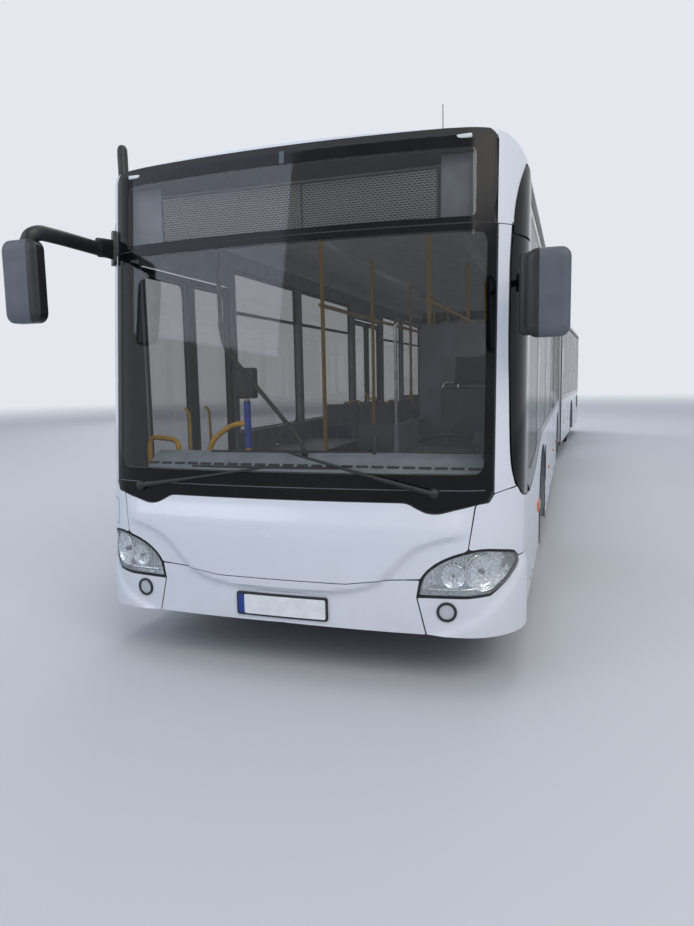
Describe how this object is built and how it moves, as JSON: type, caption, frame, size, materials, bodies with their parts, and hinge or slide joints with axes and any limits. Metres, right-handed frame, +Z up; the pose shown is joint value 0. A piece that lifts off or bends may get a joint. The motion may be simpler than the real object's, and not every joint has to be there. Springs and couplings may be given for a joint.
{
  "type": "articulated city bus",
  "caption": "Low-floor articulated city bus with a bowed front, dark glass sides, a bellows joint, steering front wheels, twin wheels behind and inward-swinging doors.",
  "frame": {"origin": "road level, on the front section's centreline, about halfway along the whole bus", "axes": "+Z up, +Y towards the tail of the front section, -Y the driving direction, +X the bus's left"},
  "size_m": [3.127, 18.4595, 3.49],
  "materials": {
    "white_paint": "glossy white",
    "pod_paint": "satin light grey",
    "dark_glass": "dark tinted",
    "clear_glass": "clear, slightly green",
    "lamp_lens": "clear lens",
    "red_lens": "red lens",
    "black_plastic": "black",
    "dark_plastic": "dark grey",
    "door_dark": "gloss black",
    "grey_plastic": "mid grey, matt",
    "floor_covering": "dark grey",
    "frame_metal": "dark grey paint",
    "chassis_metal": "black, matt",
    "seat_fabric": "blue woven cloth",
    "yellow_paint": "yellow powder coat",
    "bellows_rubber": "dark grey, matt",
    "tyre_rubber": "black",
    "rim_paint": "silver paint"
  },
  "bodies": {
    "front_section": {"front_left_side": "white_paint", "front_right_side": "white_paint", "front_roof": "white_paint", "front_floor": "floor_covering", "front_windows": "dark_glass", "front_mask": "white_paint", "front_brow": "white_paint", "windscreen": "clear_glass", "destination_board": "black_plastic", "front_bumper": "white_paint", "front_lamps": "lamp_lens", "front_joint_frame": "frame_metal", "wipers": "black_plastic", "mirrors": "dark_plastic", "aerials": "black_plastic", "front_roof_pod": "pod_paint", "dashboard": "grey_plastic", "driver_cabin": "grey_plastic", "driver_seat": "seat_fabric", "front_seats": "seat_fabric", "front_handrails": "yellow_paint", "front_axle": "chassis_metal", "middle_axle": "chassis_metal", "bellows": "bellows_rubber"},
    "rear_section": {"rear_left_side": "white_paint", "rear_right_side": "white_paint", "rear_roof": "white_paint", "rear_floor": "floor_covering", "rear_windows": "dark_glass", "tail_panel": "white_paint", "tail_lamps": "red_lens", "rear_joint_frame": "frame_metal", "rear_roof_pod": "pod_paint", "rear_seats": "seat_fabric", "rear_handrails": "yellow_paint", "engine": "chassis_metal", "rear_axle": "chassis_metal"},
    "left_knuckle": {"left_knuckle": "chassis_metal"},
    "right_knuckle": {"right_knuckle": "chassis_metal"},
    "steering_wheel": {"steering_wheel": "black_plastic"},
    "engine_lid": {"engine_lid": "white_paint"},
    "front_left_wheel": {"front_left_tyre": "tyre_rubber", "front_left_rim": "rim_paint"},
    "front_right_wheel": {"front_right_tyre": "tyre_rubber", "front_right_rim": "rim_paint"},
    "middle_left_wheels": {"middle_left_tyres": "tyre_rubber", "middle_left_rims": "rim_paint"},
    "middle_right_wheels": {"middle_right_tyres": "tyre_rubber", "middle_right_rims": "rim_paint"},
    "rear_left_wheels": {"rear_left_tyres": "tyre_rubber", "rear_left_rims": "rim_paint"},
    "rear_right_wheels": {"rear_right_tyres": "tyre_rubber", "rear_right_rims": "rim_paint"},
    "door_1_front_leaf": {"door_1_front_leaf": "door_dark"},
    "door_1_rear_leaf": {"door_1_rear_leaf": "door_dark"},
    "door_2_front_leaf": {"door_2_front_leaf": "door_dark"},
    "door_2_rear_leaf": {"door_2_rear_leaf": "door_dark"},
    "door_3_front_leaf": {"door_3_front_leaf": "door_dark"},
    "door_3_rear_leaf": {"door_3_rear_leaf": "door_dark"}
  },
  "joints": [
    {"name": "articulation", "type": "hinge", "parent": "front_section", "child": "rear_section", "pos_m": [0, 1.345, 0.27], "axis": [0, 0, 1], "range_deg": [-44.25, 49.75], "deforming": ["bellows"]},
    {"name": "left_steer", "type": "hinge", "parent": "front_section", "child": "left_knuckle", "pos_m": [0.9, -6.155, 0.4785], "axis": [0, 0, 1], "range_deg": [-45, 45]},
    {"name": "right_steer", "type": "hinge", "parent": "front_section", "child": "right_knuckle", "pos_m": [-0.9, -6.155, 0.4785], "axis": [0, 0, 1], "range_deg": [-45, 45]},
    {"name": "steering_wheel_turn", "type": "hinge", "parent": "front_section", "child": "steering_wheel", "pos_m": [0.83, -8.2, 1.18], "axis": [0, 0.4695, 0.8829], "range_deg": [-900, 900]},
    {"name": "front_left_wheel_spin", "type": "hinge", "parent": "left_knuckle", "child": "front_left_wheel", "pos_m": [1.0525, -6.155, 0.4785], "axis": [1, 0, 0], "continuous": true},
    {"name": "front_right_wheel_spin", "type": "hinge", "parent": "right_knuckle", "child": "front_right_wheel", "pos_m": [-1.0525, -6.155, 0.4785], "axis": [1, 0, 0], "continuous": true},
    {"name": "middle_left_wheels_spin", "type": "hinge", "parent": "front_section", "child": "middle_left_wheels", "pos_m": [0.901, -0.255, 0.4785], "axis": [1, 0, 0], "continuous": true},
    {"name": "middle_right_wheels_spin", "type": "hinge", "parent": "front_section", "child": "middle_right_wheels", "pos_m": [-0.901, -0.255, 0.4785], "axis": [1, 0, 0], "continuous": true},
    {"name": "rear_left_wheels_spin", "type": "hinge", "parent": "rear_section", "child": "rear_left_wheels", "pos_m": [1.11059, 5.68672, 0.4785], "axis": [0.9988, -0.048, 0], "continuous": true},
    {"name": "rear_right_wheels_spin", "type": "hinge", "parent": "rear_section", "child": "rear_right_wheels", "pos_m": [-0.68934, 5.77317, 0.4785], "axis": [0.9988, -0.048, 0], "continuous": true},
    {"name": "door_1_front_swing", "type": "hinge", "parent": "front_section", "child": "door_1_front_leaf", "pos_m": [-1.255, -8.281, 1.39], "axis": [0, 0, -1], "range_deg": [0, 88]},
    {"name": "door_1_rear_swing", "type": "hinge", "parent": "front_section", "child": "door_1_rear_leaf", "pos_m": [-1.255, -7.059, 1.39], "axis": [0, 0, 1], "range_deg": [0, 88]},
    {"name": "door_2_front_swing", "type": "hinge", "parent": "front_section", "child": "door_2_front_leaf", "pos_m": [-1.255, -3.521, 1.39], "axis": [0, 0, -1], "range_deg": [0, 88]},
    {"name": "door_2_rear_swing", "type": "hinge", "parent": "front_section", "child": "door_2_rear_leaf", "pos_m": [-1.255, -2.299, 1.39], "axis": [0, 0, 1], "range_deg": [0, 88]},
    {"name": "door_3_front_swing", "type": "hinge", "parent": "rear_section", "child": "door_3_front_leaf", "pos_m": [-1.17708, 2.99738, 1.39], "axis": [0, 0, -1], "range_deg": [0, 88]},
    {"name": "door_3_rear_swing", "type": "hinge", "parent": "rear_section", "child": "door_3_rear_leaf", "pos_m": [-1.11845, 4.21797, 1.39], "axis": [0, 0, 1], "range_deg": [0, 88]},
    {"name": "engine_lid_lift", "type": "hinge", "parent": "rear_section", "child": "engine_lid", "pos_m": [0.37559, 9.16428, 1.384], "axis": [0.9988, -0.048, 0], "range_deg": [0, 80]}
  ],
  "couplings": [
    {"joint": "right_steer", "follows": "left_steer", "ratio": 1},
    {"joint": "steering_wheel_turn", "follows": "left_steer", "ratio": 20}
  ]
}
